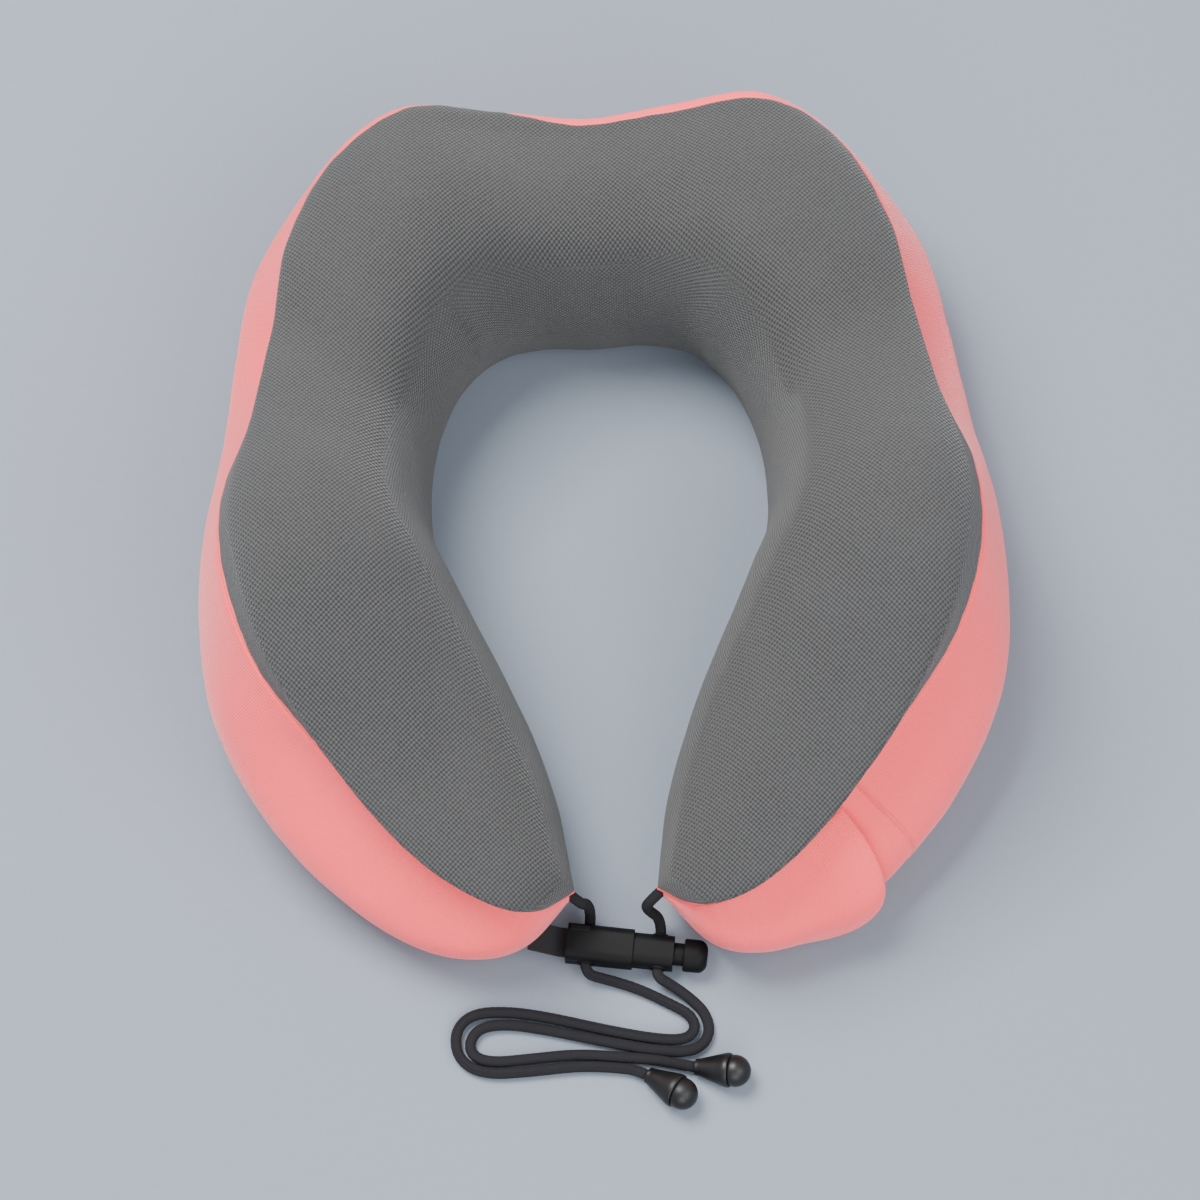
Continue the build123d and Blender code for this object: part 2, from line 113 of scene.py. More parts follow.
class Shader:
    """Short words for building a material's nodes."""

    def __init__(self, name, colour, roughness):
        self.material = bpy.data.materials.new(name)
        self.material.use_nodes = True
        self.tree = self.material.node_tree
        self.surface = self.tree.nodes["Principled BSDF"]
        self.surface.inputs["Base Color"].default_value = (*colour, 1)
        self.surface.inputs["Roughness"].default_value = roughness

    def node(self, kind, **settings):
        """A new node of a kind, with its settings."""
        made = self.tree.nodes.new(kind)
        for key, value in settings.items():
            setattr(made, key, value)
        return made

    def link(self, output, target):
        self.tree.links.new(output, target)

    def math(self, operation, a, b=0.0):
        """One step of arithmetic on numbers or outputs."""
        made = self.node("ShaderNodeMath", operation=operation)
        for socket, value in zip(made.inputs, (a, b)):
            if isinstance(value, (int, float)):
                socket.default_value = value
            else:
                self.link(value, socket)
        return made.outputs[0]

    def remap(self, value, low, high, to_low=0.0, to_high=1.0):
        """The value's range from low to high, stretched to a new range and held within it."""
        made = self.node("ShaderNodeMapRange")
        self.link(value, made.inputs["Value"])
        ends = {"From Min": low, "From Max": high, "To Min": to_low, "To Max": to_high}
        for key, number in ends.items():
            made.inputs[key].default_value = number
        return made.outputs["Result"]

    def mix_colour(self, factor, first, second):
        """Blend of two colours or colour outputs."""
        made = self.node("ShaderNodeMix", data_type="RGBA")
        self.link(factor, made.inputs["Factor"])
        for socket, value in ((made.inputs[MIX_FIRST], first), (made.inputs[MIX_SECOND], second)):
            if isinstance(value, tuple):
                socket.default_value = (*value, 1)
            else:
                self.link(value, socket)
        return made.outputs[MIX_RESULT]

    def place(self):
        """Object coordinates, one output for each axis."""
        split = self.node("ShaderNodeSeparateXYZ")
        self.link(self.node("ShaderNodeTexCoord").outputs["Object"], split.inputs[0])
        return split.outputs

    def uv(self):
        """Distances over the cloth, one output for each way."""
        split = self.node("ShaderNodeSeparateXYZ")
        self.link(self.node("ShaderNodeTexCoord").outputs["UV"], split.inputs[0])
        return split.outputs

    def noise(self, scale, detail=3.0):
        """Random height from 0 to 1 over the object, with scale bumps to the metre."""
        made = self.node("ShaderNodeTexNoise")
        self.link(self.node("ShaderNodeTexCoord").outputs["Object"], made.inputs["Vector"])
        made.inputs["Scale"].default_value = scale
        made.inputs["Detail"].default_value = detail
        return made.outputs["Fac"]

    def wave(self, coordinate, pitch):
        """Cosine along a coordinate, with its pitch in the coordinate's unit."""
        return self.math("COSINE", self.math("MULTIPLY", coordinate, 2 * math.pi / pitch))

    def bump(self, height, distance):
        """Raises the surface by a height, at most by a distance in metres."""
        made = self.node("ShaderNodeBump")
        made.inputs["Distance"].default_value = distance
        made.inputs["Strength"].default_value = 1.0
        self.link(height, made.inputs["Height"])
        self.link(made.outputs["Normal"], self.surface.inputs["Normal"])

    def sheen(self, weight, roughness, tint=(1, 1, 1)):
        self.surface.inputs["Sheen Weight"].default_value = weight
        self.surface.inputs["Sheen Roughness"].default_value = roughness
        self.surface.inputs["Sheen Tint"].default_value = (*tint, 1)


def plain_material(name, colour, roughness):
    """One colour, with a fine change in its gloss."""
    shader = Shader(name, colour, roughness)
    grain = shader.noise(scale=400)
    shader.link(shader.remap(grain, 0.3, 0.7, roughness - 0.05, roughness + 0.05),
                shader.surface.inputs["Roughness"])
    return shader.material


FACES_UP = (0.40, 0.52)         # share of the normal that points up, where the pattern changes over
FACES_SIDEWAYS = (-0.08, 0.08)


def by_normal(shader, flat, front, side):
    """Blends three flat patterns by the way the cloth faces: up, to the front, or to the side."""
    split = shader.node("ShaderNodeSeparateXYZ")
    shader.link(shader.node("ShaderNodeNewGeometry").outputs["Normal"], split.inputs[0])
    x, y, z = (shader.math("ABSOLUTE", axis) for axis in split.outputs[:3])
    up = shader.remap(z, *FACES_UP)
    along = shader.remap(shader.math("SUBTRACT", x, y), *FACES_SIDEWAYS)
    wall = shader.math("ADD", shader.math("MULTIPLY", front, shader.math("SUBTRACT", 1.0, along)),
                       shader.math("MULTIPLY", side, along))
    return shader.math("ADD", shader.math("MULTIPLY", flat, up),
                       shader.math("MULTIPLY", wall, shader.math("SUBTRACT", 1.0, up)))


def knit_material(name, dark, light, pitch, row, depth, sheen):
    """Fine knit: staggered stitches of two tones in rows, cut flat and laid over the form."""
    shader = Shader(name, dark, 0.9)
    x, y, z = shader.place()[:3]
    wave_x, wave_y = (shader.wave(axis, pitch) for axis in (x, y))
    row_y, row_z = shader.wave(y, row), shader.wave(z, row)
    flat = shader.math("MULTIPLY", wave_x, row_y)
    front = shader.math("MULTIPLY", wave_x, row_z)
    side = shader.math("MULTIPLY", wave_y, row_z)
    stitches = by_normal(shader, flat, front, side)
    melange = shader.noise(scale=900, detail=2)
    patches = shader.noise(scale=28, detail=4)
    height = shader.math("ADD", stitches, shader.math("MULTIPLY", melange, 0.9))
    tone = shader.remap(height, -0.55, 1.35)
    cloth = shader.mix_colour(tone, dark, light)
    worn = shader.mix_colour(shader.remap(patches, 0.35, 0.75, to_high=0.22), cloth, light)
    shader.link(worn, shader.surface.inputs["Base Color"])
    shader.bump(height, depth)
    shader.sheen(sheen, roughness=0.45)
    return shader.material


def stretch_material(name, colour, bright, rib, sheen):
    """Smooth stretch cloth with a fine vertical rib and a pale bloom at its edges."""
    shader = Shader(name, colour, 0.72)
    u, v = shader.uv()[:2]
    ribs = shader.wave(u, rib)
    courses = shader.wave(v, rib * 0.8)
    fibre = shader.noise(scale=1400, detail=2)
    weave = shader.math("ADD", ribs, shader.math("MULTIPLY", courses, 0.6))
    height = shader.math("ADD", weave, shader.math("MULTIPLY", fibre, 1.2))
    patches = shader.noise(scale=22)
    cloth = shader.mix_colour(shader.remap(patches, 0.3, 0.7, to_high=0.5), colour, bright)
    threads = shader.mix_colour(shader.remap(height, -1.0, 2.2, to_high=0.35), cloth, bright)
    shader.link(threads, shader.surface.inputs["Base Color"])
    shader.bump(height, distance=0.00006)
    shader.sheen(sheen, roughness=0.35, tint=(1.0, 0.87, 0.88))
    return shader.material


def plastic_material(name, colour, roughness, shine=0.22, grain_depth=0.00004):
    """Moulded plastic with a fine spark-eroded grain and worn, smoother patches."""
    shader = Shader(name, colour, roughness)
    grain = shader.noise(scale=2600, detail=2)
    wear = shader.noise(scale=90, detail=4)
    shader.link(shader.remap(wear, 0.3, 0.75, roughness - 0.08, roughness + 0.14),
                shader.surface.inputs["Roughness"])
    shader.surface.inputs["Specular IOR Level"].default_value = shine
    lighter = tuple(min(1.0, c * 1.6 + 0.002) for c in colour)
    tone = shader.mix_colour(shader.remap(wear, 0.35, 0.8, to_high=0.6), colour, lighter)
    shader.link(tone, shader.surface.inputs["Base Color"])
    shader.bump(grain, grain_depth)
    return shader.material


def metal_material(name, colour, roughness, metallic):
    """Bare or enamelled metal with lighter, rubbed patches."""
    shader = Shader(name, colour, roughness)
    shader.surface.inputs["Metallic"].default_value = metallic
    wear = shader.noise(scale=500, detail=5)
    shader.link(shader.remap(wear, 0.3, 0.7, roughness - 0.08, roughness + 0.12),
                shader.surface.inputs["Roughness"])
    lighter = tuple(min(1.0, c * 1.25) for c in colour)
    shader.link(shader.mix_colour(shader.remap(wear, 0.4, 0.8), colour, lighter),
                shader.surface.inputs["Base Color"])
    shader.bump(wear, distance=0.00003)
    return shader.material


def thread_material(name, colour, light, pitch, depth):
    """Twisted or woven yarn: slanted fibres along and round the piece."""
    shader = Shader(name, colour, 0.85)
    u, v = shader.uv()[:2]
    slant = shader.math("ADD", u, v)
    other = shader.math("SUBTRACT", u, v)
    fibres = shader.math("MULTIPLY", shader.wave(slant, pitch), shader.wave(other, pitch))
    fuzz = shader.noise(scale=2500, detail=2)
    height = shader.math("ADD", fibres, fuzz)
    shader.link(shader.mix_colour(shader.remap(height, -0.6, 1.7), colour, light),
                shader.surface.inputs["Base Color"])
    shader.bump(height, depth)
    shader.surface.inputs["Specular IOR Level"].default_value = 0.25
    return shader.material


KNIT = knit_material("grey_mesh_knit", (0.0068, 0.0068, 0.0072), (0.058, 0.058, 0.059), pitch=0.0017,
                     row=0.0016, depth=0.00026, sheen=0.13)
PINK = stretch_material("pink_stretch_jersey", (1.0, 0.060, 0.076), (1.0, 0.098, 0.115),
                        rib=0.0009, sheen=0.36)
PINK_HEM = stretch_material("pink_hem", (0.93, 0.070, 0.075), (0.98, 0.12, 0.12), rib=0.0008, sheen=0.25)
PINK_THREAD = thread_material("pink_thread", (0.85, 0.065, 0.075), (0.98, 0.16, 0.16),
                              pitch=0.0005, depth=0.00004)
ZIP_TAPE = thread_material("zip_tape_weave", (0.72, 0.055, 0.065), (0.88, 0.12, 0.125),
                           pitch=0.0008, depth=0.00006)
ZIP_COIL = plastic_material("zip_coil_nylon", (0.66, 0.05, 0.06), 0.38, grain_depth=0.00001)
ZIP_METAL = metal_material("zip_enamel", (0.60, 0.05, 0.06), 0.32, metallic=0.35)
BLACK = plastic_material("black_moulded_plastic", (0.0045, 0.0045, 0.005), 0.40, shine=0.30)
LOCK_BLACK = plastic_material("black_matt_plastic", (0.0035, 0.0035, 0.004), 0.52, shine=0.09)
STEEL = metal_material("spring_wire", (0.55, 0.55, 0.57), 0.25, metallic=1.0)
CORD = thread_material("black_braid", (0.0025, 0.0025, 0.0035), (0.016, 0.016, 0.020),
                       pitch=0.0006, depth=0.00007)
WEBBING = thread_material("black_webbing", (0.0025, 0.0025, 0.003), (0.014, 0.014, 0.016),
                          pitch=0.0012, depth=0.00012)


# ------------------------------------------------------------------ mesh helpers
ODD_WAY = (0.31, 0.17, 0.93)    # a direction that no tube sets out along


def new_object(name, vertices, faces, uvs, material):
    """A smooth mesh on the pillow; uvs holds one pair for each vertex, in metres over the cloth."""
    mesh = bpy.data.meshes.new(name)
    mesh.from_pydata([tuple(v) for v in vertices], [], faces)
    mesh.validate()
    mesh.materials.append(material)
    mesh.polygons.foreach_set("use_smooth", [True] * len(mesh.polygons))
    layer = mesh.uv_layers.new(name="UVMap")
    corners = np.empty(len(mesh.loops), dtype=np.int64)
    mesh.loops.foreach_get("vertex_index", corners)
    layer.data.foreach_set("uv", np.asarray(uvs, float)[corners].ravel())
    obj = bpy.data.objects.new(name, mesh)
    bpy.context.scene.collection.objects.link(obj)
    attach(obj, "pillow")
    return obj


def grid_faces(rows, columns, closed=False):
    """Four-sided faces of a grid; closed joins its last column to its first."""
    faces = []
    for i in range(rows - 1):
        for j in range(columns if closed else columns - 1):
            k = (j + 1) % columns
            faces.append((i * columns + j, (i + 1) * columns + j, (i + 1) * columns + k, i * columns + k))
    return faces


def grid_lengths(points):
    """Distance over the cloth along both ways of a grid of points, as uv pairs."""
    along = np.linalg.norm(np.diff(points, axis=0), axis=2)
    middle = along[:, along.shape[1] // 2]
    u = np.concatenate([[0], np.cumsum(middle)])
    across = np.linalg.norm(np.diff(points, axis=1), axis=2)
    v = np.concatenate([np.zeros((points.shape[0], 1)), np.cumsum(across, axis=1)], axis=1)
    return np.stack([np.repeat(u[:, None], points.shape[1], axis=1), v], axis=2).reshape(-1, 2)


def grid_normals(points):
    """Unit normals of a grid of points, out of the pillow."""
    du = np.gradient(points, axis=0)
    dv = np.gradient(points, axis=1)
    normal = np.cross(du, dv)
    length = np.linalg.norm(normal, axis=2, keepdims=True)
    return normal / np.maximum(length, 1e-12)


def tube_object(name, points, radius, sides, material, pattern=None, closed_ends=True):
    """A round tube along points; pattern(distance, angle) adds to its radius."""
    points = np.asarray(points, float)
    step = np.linalg.norm(np.diff(points, axis=0), axis=1)
    distance = np.concatenate([[0], np.cumsum(step)])
    tangent = np.gradient(points, axis=0)
    tangent /= np.linalg.norm(tangent, axis=1, keepdims=True)
    normal = np.cross(tangent[0], ODD_WAY)
    vertices = []
    uvs = []
    for place, along, way in zip(points, distance, tangent):
        normal = normal - way * np.dot(normal, way)
        normal /= np.linalg.norm(normal)
        binormal = np.cross(way, normal)
        for k in range(sides):
            angle = 2 * math.pi * k / sides
            reach = radius + (pattern(along, angle) if pattern else 0.0)
            vertices.append(place + reach * (math.cos(angle) * normal + math.sin(angle) * binormal))
            uvs.append((along, angle * radius))
    faces = grid_faces(len(points), sides, closed=True)
    if closed_ends:
        faces.append(tuple(range(sides)))
        faces.append(tuple(len(vertices) - 1 - k for k in range(sides)))
    return new_object(name, vertices, faces, uvs, material)


def resample(points, size):
    """The same line with its points an even size apart."""
    points = np.asarray(points, float)
    distance = np.concatenate([[0], np.cumsum(np.linalg.norm(np.diff(points, axis=0), axis=1))])
    count = max(2, round(distance[-1] / size) + 1)
    goal = np.linspace(0, distance[-1], count)
    return np.stack([np.interp(goal, distance, points[:, k]) for k in range(3)], axis=1)


def lathe_object(name, profile, origin, axis, sides, material):
    """A turned piece: profile is (distance along the axis, radius) from one end to the other."""
    axis = Vector(axis).normalized()
    side = axis.orthogonal().normalized()
    other = axis.cross(side)
    vertices = []
    uvs = []
    for along, radius in profile:
        for k in range(sides):
            angle = 2 * math.pi * k / sides
            vertices.append(Vector(origin) + axis * along
                            + radius * (math.cos(angle) * side + math.sin(angle) * other))
            uvs.append((along, angle * radius))
    faces = grid_faces(len(profile), sides, closed=True)
    faces.append(tuple(range(sides)))
    faces.append(tuple(len(vertices) - 1 - k for k in range(sides)))
    return new_object(name, vertices, faces, uvs, material)


def rounded_profile(corners, bevel, pieces=5):
    """The profile's corners, each but the ends turned into a round curve."""
    result = [corners[0]]
    for before, corner, after in zip(corners, corners[1:], corners[2:]):
        corner = np.array(corner, float)
        arms = []
        for other in (before, after):
            arm = np.array(other, float) - corner
            arms.append(arm / np.linalg.norm(arm) * min(bevel, np.linalg.norm(arm) * 0.45))
        for k in range(pieces + 1):
            f = k / pieces
            rounded = corner + arms[0] * (1 - f) ** 2 + arms[1] * f ** 2
            result.append((float(rounded[0]), float(rounded[1])))
    result.append(corners[-1])
    return result


def add_solid(obj, thickness):
    """Gives a cloth its thickness, inwards from the surface that shows."""
    solid = obj.modifiers.new("thickness", "SOLIDIFY")
    solid.thickness = thickness
    solid.offset = -1
    solid.use_even_offset = False


# ------------------------------------------------------------------ cords (they come first)
CORD_RADIUS = 1.85
FLOOR = CORD_RADIUS + 0.1
LOCK_ANGLE = math.radians(-8.5)
LOCK_CENTRE = (1.8, -142.5, 6.6)
HOLE_SPAN = 12.4
BEHIND, AHEAD = -11.6, 10.2
BELL_PITCH = math.radians(14.5)
BELL_Z = 3.1
BRAID_STEP = 0.00045
BRAID_SIDES = 24
BRAID_STRANDS, BRAID_RISE = 8, 0.0042
BRAID_HEIGHT, BRAID_SINK = 0.00024, 0.62    # strand height, and the share of it below the cord's radius


def lock_point(along, front, up=0.0):
    """Point from the lock's centre: along its axis to the button, to the front, and up."""
    x = LOCK_CENTRE[0] + along * math.cos(LOCK_ANGLE) + front * math.sin(LOCK_ANGLE)
    y = LOCK_CENTRE[1] + along * math.sin(LOCK_ANGLE) - front * math.cos(LOCK_ANGLE)
    return (x, y, LOCK_CENTRE[2] + up)


LOCK_AXIS = Vector((math.cos(LOCK_ANGLE), math.sin(LOCK_ANGLE), 0))
BELLS = {"left": (8.5, -186.0, math.radians(-34.5)), "right": (24.8, -184.0, math.radians(-11.0))}


def bell_axis(side):
    """Unit vector from a bell's mouth to its cap."""
    turn = BELLS[side][2]
    return Vector((math.cos(BELL_PITCH) * math.cos(turn), math.cos(BELL_PITCH) * math.sin(turn),
                   math.sin(BELL_PITCH)))


def bell_point(side, along):
    """Point on a bell's axis, so far past its mouth."""
    x, y, _ = BELLS[side]
    return tuple(Vector((x, y, BELL_Z)) + bell_axis(side) * along)


CORD_ROUTES = {
    "left": [
        (-18.6, -126.4, 32.0),
        (-11.6, -132.0, 28.0),
        (-10.4, -128.4, 17.6),
        lock_point(-HOLE_SPAN, BEHIND),
        lock_point(-HOLE_SPAN, 1.3),
        lock_point(-HOLE_SPAN, AHEAD),
        (-4.2, -152.2, 2.6),
        (6.6, -155.8, FLOOR),
        (17.0, -161.4, FLOOR),
        (24.2, -165.6, FLOOR),
        (25.6, -171.0, FLOOR),
        (21.2, -174.4, FLOOR),
        (10.0, -173.2, FLOOR),
        (-6.5, -169.4, FLOOR),
        (-23.5, -164.8, FLOOR),
        (-38.5, -161.8, FLOOR),
        (-51.5, -162.0, FLOOR),
        (-57.6, -168.4, FLOOR),
        (-56.4, -178.0, FLOOR),
        (-47.6, -183.4, FLOOR),
        (-31.5, -183.0, FLOOR),
        (-16.0, -181.8, FLOOR),
        (-4.0, -182.6, FLOOR),
        bell_point("left", -3.2),
        bell_point("left", 5.0),
    ],
    "right": [
        (18.6, -126.4, 32.0),
        (10.6, -131.8, 27.4),
        (10.2, -131.4, 17.0),
        lock_point(HOLE_SPAN, BEHIND),
        lock_point(HOLE_SPAN, 3.0),
        (12.8, -152.7, LOCK_CENTRE[2]),
        (17.2, -155.0, 4.2),
        (23.6, -159.2, FLOOR),
        (29.4, -165.4, FLOOR),
        (30.4, -173.4, FLOOR),
        (24.2, -178.8, FLOOR),
        (11.0, -177.4, FLOOR),
        (-6.0, -173.6, FLOOR),
        (-24.5, -169.0, FLOOR),
        (-38.5, -166.2, FLOOR),
        (-48.4, -166.8, FLOOR),
        (-52.6, -171.8, FLOOR),
        (-51.4, -177.0, FLOOR),
        (-44.6, -179.4, FLOOR),
        (-31.5, -178.6, FLOOR),
        (-15.5, -177.6, FLOOR),
        (-1.5, -179.2, FLOOR),
        (11.5, -180.6, FLOOR),
        bell_point("right", -3.2),
        bell_point("right", 5.0),
    ],
}


def spline_points(name, route):
    """Points of the smooth line that has the route's points as its control points."""
    curve = bpy.data.curves.new(name, "CURVE")
    curve.dimensions = "3D"
    curve.resolution_u = 24
    spline = curve.splines.new("NURBS")
    spline.points.add(len(route) - 1)
    for point, place in zip(spline.points, route):
        point.co = (*(MM * c for c in place), 1)
    spline.order_u = 3
    spline.use_endpoint_u = True
    holder = bpy.data.objects.new(name, curve)
    bpy.context.scene.collection.objects.link(holder)
    line = bpy.data.meshes.new_from_object(holder)
    points = [tuple(v.co) for v in line.vertices]
    bpy.data.objects.remove(holder)
    return resample(points, BRAID_STEP)


def braid(distance, angle):
    """Height of the braid's crossing strands over the cord's radius."""
    a = math.sin(BRAID_STRANDS / 2 * angle + math.pi * distance / BRAID_RISE * 2)
    b = math.sin(BRAID_STRANDS / 2 * angle - math.pi * distance / BRAID_RISE * 2)
    return BRAID_HEIGHT * (abs(a * b) ** 0.5 - BRAID_SINK)


def make_cord(side, pieces):
    """A braided cord along its route; pieces, the parts of its bell, is not used."""
    line = spline_points("cord_line_" + side, CORD_ROUTES[side])
    cord = tube_object("braided_cord_" + side, line, CORD_RADIUS * MM, BRAID_SIDES, CORD, braid)
    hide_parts("cord_" + side)


# Profiles of the bell's two pieces: distance from the mouth, and radius
SLEEVE_PROFILE = [(0.0, 2.15), (0.0, 2.9), (1.3, 3.0), (10.2, 5.75), (11.0, 5.95), (12.4, 5.95),
                  (12.4, 4.8), (11.8, 4.7)]
SLEEVE_BEVEL = 0.7
CAP_NECK = [(11.6, 4.2), (12.5, 4.25)]
CAP_CENTRE, CAP_RADIUS = 14.0, 5.5
CAP_PIECES = 16
BELL_SIDES = 64


def cap_profile():
    """The neck that sits in the sleeve, and the ball from there to its crown."""
    start = math.acos((CAP_NECK[-1][0] - CAP_CENTRE) / CAP_RADIUS)
    profile = list(CAP_NECK)
    for k in range(CAP_PIECES):
        angle = start * (1 - k / CAP_PIECES)
        profile.append((CAP_CENTRE + CAP_RADIUS * math.cos(angle), CAP_RADIUS * math.sin(angle)))
    profile.append((CAP_CENTRE + CAP_RADIUS, 0.02))
    return profile


def make_bell(side):
    """Tapered sleeve with a rim, and the round cap that snaps into it."""
    pieces = []
    profiles = {"sleeve": rounded_profile(SLEEVE_PROFILE, SLEEVE_BEVEL), "cap": cap_profile()}
    for word, profile in profiles.items():
        scaled = [(along * MM, radius * MM) for along, radius in profile]
        piece = lathe_object(f"cord_end_{word}_{side}", scaled, Vector(bell_point(side, 0)) * MM,
                             bell_axis(side), BELL_SIDES, BLACK)
        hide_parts(f"bell_{word}_{side}")
        pieces.append(piece)
    return pieces + [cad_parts["bell_knot_" + side]]


make_camera()
make_stage()
for cord_side in ("left", "right"):
    make_cord(cord_side, make_bell(cord_side))

# ------------------------------------------------------------------ form of the pillow
# One arm from the centre of the back to the tip, in millimetres: inner point, outer point,
# height of the base, the crown and the seam, and how far the seam stands in from the side.
ARM = np.array([
    (0, 77, 0, 148, 0, 88, 76, 7),
    (17, 77.5, 32, 150, 0, 91, 79, 6.5),
    (33, 73, 67, 150, 0, 102, 87, 8),
    (45, 62, 97, 134, 0, 104, 84, 12),
    (53, 47, 119, 106, 0, 98, 76, 17),
    (58, 29, 127, 72, 0, 94, 70, 21),
    (59, 11, 132, 35, 0, 106, 82, 16),
    (57, -7, 138, -1, 0, 120, 94, 11),
    (50, -23, 140, -33, 0, 120, 92, 13),
    (42, -39, 135, -65, 0, 108, 82, 19),
    (33, -57, 120, -94, 0, 92, 70, 24),
    (25, -76, 99, -119, 0, 78, 60, 25),
    (19, -95, 76, -137, 0, 68, 52, 23),
    (16, -111, 53, -146, 3, 60, 44, 18),
    (14.5, -122, 33, -144, 13, 50, 39, 10),
    (14, -128, 14.5, -129, 30, 34, 32, 0.2),
], float)
BASE_COLUMN = 4
MIRROR = np.array((-1, 1, -1, 1, 1, 1, 1, 1), float)
TIP = len(ARM) - 1
TOP_SEAM = 7.0
BASE_LIFT = 0.2             # the skin starts this far above the section's base
WRINKLE_SIZE, FINE_WRINKLE_SIZE = 0.034, 0.012
FINE_WRINKLE_SHARE = 0.35
FINE_WRINKLE_SEED = 7       # added to a panel's own seed


def blend_row(rows, t):
    """Value of a smooth curve through the rows at parameter t (uniform Catmull-Rom)."""
    last = len(rows) - 1
    i = min(int(t), last - 1)
    f = t - i
    b, c = rows[i], rows[i + 1]
    a = rows[i - 1] if i > 0 else 2 * b - c
    d = rows[i + 2] if i + 2 <= last else 2 * c - b
    return 0.5 * (2 * b + (c - a) * f + (2 * a - 5 * b + 4 * c - d) * f ** 2
                  + (3 * b - a - 3 * c + d) * f ** 3)


ROWS = np.vstack([ARM[1] * MIRROR, ARM])


def station_at(t):
    """The section's eight measures at t, which is negative in the left arm."""
    row = blend_row(ROWS, abs(t) + 1)
    row[BASE_COLUMN] = max(row[BASE_COLUMN], 0)
    return row * MIRROR if t < 0 else row


def skin_point(t, s):
    """Point of the skin at t stations from the back centre and s round the section, in metres."""
    inner_x, inner_y, outer_x, outer_y, base, crown, seam_z, inset = station_at(t)
    width = math.hypot(outer_x - inner_x, outer_y - inner_y)
    height, seam = crown - base, seam_z - base
    # across and up: the base's inner edge (s = 0), the crown (5), the seam (7), the outer edge (10)
    section = np.array([
        (0.16 * width, 0),
        (0.05 * width, 0.10 * height),
        (0, 0.36 * height),
        (0.06 * width, 0.68 * height),
        (0.21 * width, 0.91 * height),
        (0.46 * width, height),
        (0.74 * width, 0.955 * height),
        (width - min(inset, 0.45 * width), seam),
        (width, 0.40 * height),
        (0.965 * width, 0.11 * height),
        (0.86 * width, 0),
    ])
    across, up = blend_row(section, s)
    share = across / width
    up = BASE_LIFT + up * (height - BASE_LIFT) / height
    return np.array((inner_x + (outer_x - inner_x) * share, inner_y + (outer_y - inner_y) * share,
                     base + up)) * MM


def smooth_step(value, low, high):
    """Rises from 0 at low to 1 at high, level at both ends."""
    f = np.clip((value - low) / (high - low), 0, 1)
    return f * f * (3 - 2 * f)


def cloth_noise(points, size, seed):
    """Smooth random height from -1 to 1 at each point, with bumps about size metres wide."""
    shape = points.shape[:2]
    flat = points.reshape(-1, 3) / size + seed
    return np.array([noise.noise(Vector(p)) for p in flat]).reshape(shape)


def edge_distance(points, side):
    """Distance over the cloth from a grid's first or last column."""
    across = np.linalg.norm(np.diff(points, axis=1), axis=2)
    if side == "first":
        return np.concatenate([np.zeros((points.shape[0], 1)), np.cumsum(across, axis=1)], axis=1)
    back = np.cumsum(across[:, ::-1], axis=1)[:, ::-1]
    return np.concatenate([back, np.zeros((points.shape[0], 1))], axis=1)


SEAM_DIP = 0.0009           # how deep a panel's edge turns into a seam
SEAM_ROLL = 0.0032          # and over what width it rolls
PUCKER = 0.00009
PUCKER_PITCH = 0.0068
PUCKER_REACH = 0.011


def sewn(points, edge, distance_along):
    """Height of a panel near a sewn edge: it rolls in and puckers a little."""
    distance = edge_distance(points, edge)
    roll = -SEAM_DIP * (1 - smooth_step(distance, 0, SEAM_ROLL)) ** 1.5
    fade = np.exp(-((distance / PUCKER_REACH) ** 2))
    ripple = PUCKER * fade * np.sin(2 * math.pi * distance_along / PUCKER_PITCH)
    return roll + ripple


def panel(name, t_of, s_of, rows, columns, material, edge, seed, thickness=0.0015, lift=None,
          wrinkle=0.0005):
    """A panel of cloth on the pillow's skin. t_of(u, v) and s_of(u, v, t) place its grid.

    edge says which of its columns is sewn, and lift(u, v) raises it off the skin.
    """
    grid = []
    for i in range(rows):
        u = i / (rows - 1)
        line = []
        for j in range(columns):
            v = j / (columns - 1)
            t = t_of(u, v)
            line.append(skin_point(t, s_of(u, v, t)))
        grid.append(line)
    points = np.array(grid)
    normal = grid_normals(points)
    along = grid_lengths(points).reshape(rows, columns, 2)[:, :, 0]
    fine = cloth_noise(points, FINE_WRINKLE_SIZE, seed + FINE_WRINKLE_SEED)
    height = wrinkle * cloth_noise(points, WRINKLE_SIZE, seed) + FINE_WRINKLE_SHARE * wrinkle * fine
    height = height + sewn(points, edge, along)
    if lift:
        for i in range(rows):
            for j in range(columns):
                height[i, j] += lift(i / (rows - 1), j / (columns - 1))
    points = points + normal * height[:, :, None]
    points[:, :, 2] = np.maximum(points[:, :, 2], BASE_LIFT * MM)
    piece = new_object(name, points.reshape(-1, 3), grid_faces(rows, columns), grid_lengths(points),
                       material)
    add_solid(piece, thickness)
    return piece


COVER_TIP = TIP - 0.02
HEM_S, OUTER_HEM_S = 0.02, 9.98
JOIN_TOP, JOIN_BEND, JOIN_POWER = 10.79, 0.075, 1.6     # the side panel's seam under the pocket
MOUTH_TOP, MOUTH_REACH, MOUTH_ROUND = 11.1, 2.0, 4.4    # the curve of the pocket's mouth
SEAM_CREEPS = [             # how far the top seam creeps up, round which station, and over how many
    (0.42, 0.9, 1.7),
    (0.22, -2.7, 1.1),
]


def along_whole(u, v):
    return COVER_TIP * (2 * u - 1)


def join_station(s):
    """The pocket backing's seam: it leans back on its way down."""
    return JOIN_TOP + JOIN_BEND * (s - TOP_SEAM) ** JOIN_POWER


